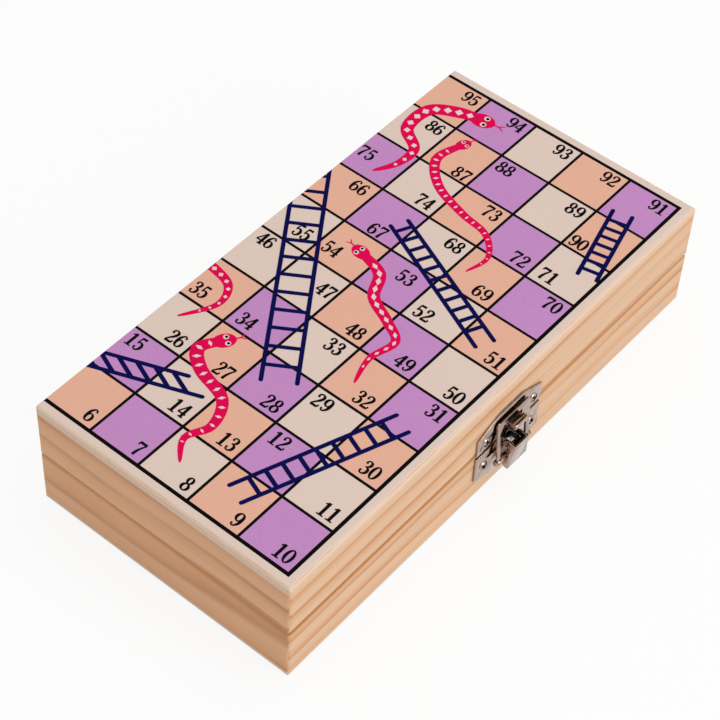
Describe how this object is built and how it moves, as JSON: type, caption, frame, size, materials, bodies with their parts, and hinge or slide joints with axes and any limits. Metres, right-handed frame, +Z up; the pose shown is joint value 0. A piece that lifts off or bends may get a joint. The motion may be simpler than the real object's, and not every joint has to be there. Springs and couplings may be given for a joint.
{
  "type": "folding snakes and ladders board",
  "caption": "Folding wooden snakes and ladders board: two hinged trays with the playing field printed outside, shut by a toggle latch, with counters and a die kept inside.",
  "frame": {"origin": "middle of the base's outer face, on which the shut box rests", "axes": "+X out of the latch side, +Y along the fold, +Z up through the shut box"},
  "size_m": [0.1289, 0.24, 0.052],
  "materials": {
    "pine": "sanded and clear coated",
    "printed_plywood": "sanded, screen printed",
    "hinge_steel": "nickel plated",
    "nickel": "nickel plated",
    "red_wood": "painted",
    "blue_wood": "painted",
    "green_wood": "painted",
    "yellow_wood": "painted",
    "ivory_wood": "sanded, painted pips"
  },
  "bodies": {
    "base": {"base_panel": "printed_plywood", "base_latch_rail": "pine", "base_fold_rail": "pine", "base_near_rail": "pine", "base_far_rail": "pine", "hinge_near_base_leaf": "hinge_steel", "hinge_far_base_leaf": "hinge_steel", "hinge_near_pin": "hinge_steel", "hinge_far_pin": "hinge_steel", "hinge_base_screws": "hinge_steel", "lever_plate": "nickel", "lever_plate_screws": "nickel", "lever_pin": "nickel", "counter_red": "red_wood", "counter_blue": "blue_wood", "counter_green": "green_wood", "counter_yellow": "yellow_wood", "die": "ivory_wood"},
    "lid": {"lid_panel": "printed_plywood", "lid_latch_rail": "pine", "lid_fold_rail": "pine", "lid_near_rail": "pine", "lid_far_rail": "pine", "hinge_near_lid_leaf": "hinge_steel", "hinge_far_lid_leaf": "hinge_steel", "hinge_lid_screws": "hinge_steel", "keeper_plate": "nickel", "keeper_screws": "nickel"},
    "lever": {"lever": "nickel", "bail_pin": "nickel"},
    "bail": {"bail": "nickel"}
  },
  "joints": [
    {"name": "lid_hinge", "type": "hinge", "parent": "base", "child": "lid", "pos_m": [-0.0605, 0, 0.026], "axis": [0, -1, 0], "range_deg": [0, 180]},
    {"name": "lever_pivot", "type": "hinge", "parent": "base", "child": "lever", "pos_m": [0.0637, 0.002, 0.021], "axis": [0, -1, 0], "range_deg": [0, 95]},
    {"name": "bail_pivot", "type": "hinge", "parent": "lever", "child": "bail", "pos_m": [0.06305, 0.002, 0.01645], "axis": [0, -1, 0], "range_deg": [-80, 0]}
  ],
  "couplings": [
    {"joint": "bail_pivot", "follows": "lever_pivot", "ratio": -0.84}
  ]
}
